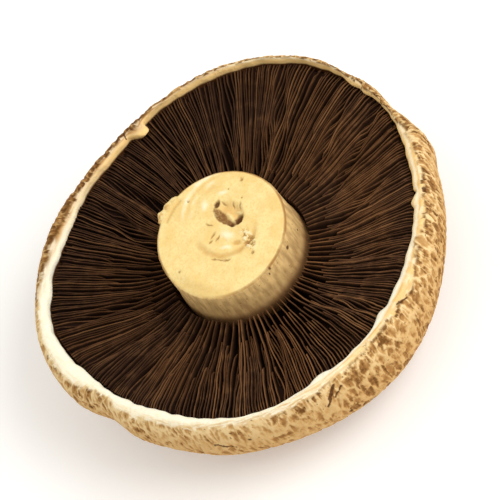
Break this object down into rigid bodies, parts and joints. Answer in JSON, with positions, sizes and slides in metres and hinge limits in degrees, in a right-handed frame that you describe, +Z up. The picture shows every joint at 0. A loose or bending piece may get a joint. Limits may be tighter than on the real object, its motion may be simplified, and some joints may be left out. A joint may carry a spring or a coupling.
{
  "type": "portobello mushroom",
  "caption": "Trimmed portobello mushroom resting on its cap: scaly tan cap with a rolled cream margin, dark radial gills and a short cut stem.",
  "frame": {"origin": "middle of the flat spot on the crown of the cap that the mushroom rests on", "axes": "+Z up, from the crown of the cap through the gills to the cut stem; the stem's cut slopes down toward -Y"},
  "size_m": [0.1132, 0.11, 0.0415],
  "materials": {
    "cap_skin": "dry, scaly, mottled tan on cream",
    "gill_flesh": "matte dark chocolate brown",
    "stem_flesh": "smooth moist cream"
  },
  "bodies": {
    "root": {"cap": "cap_skin", "gills": "gill_flesh", "stem": "stem_flesh"}
  },
  "joints": []
}
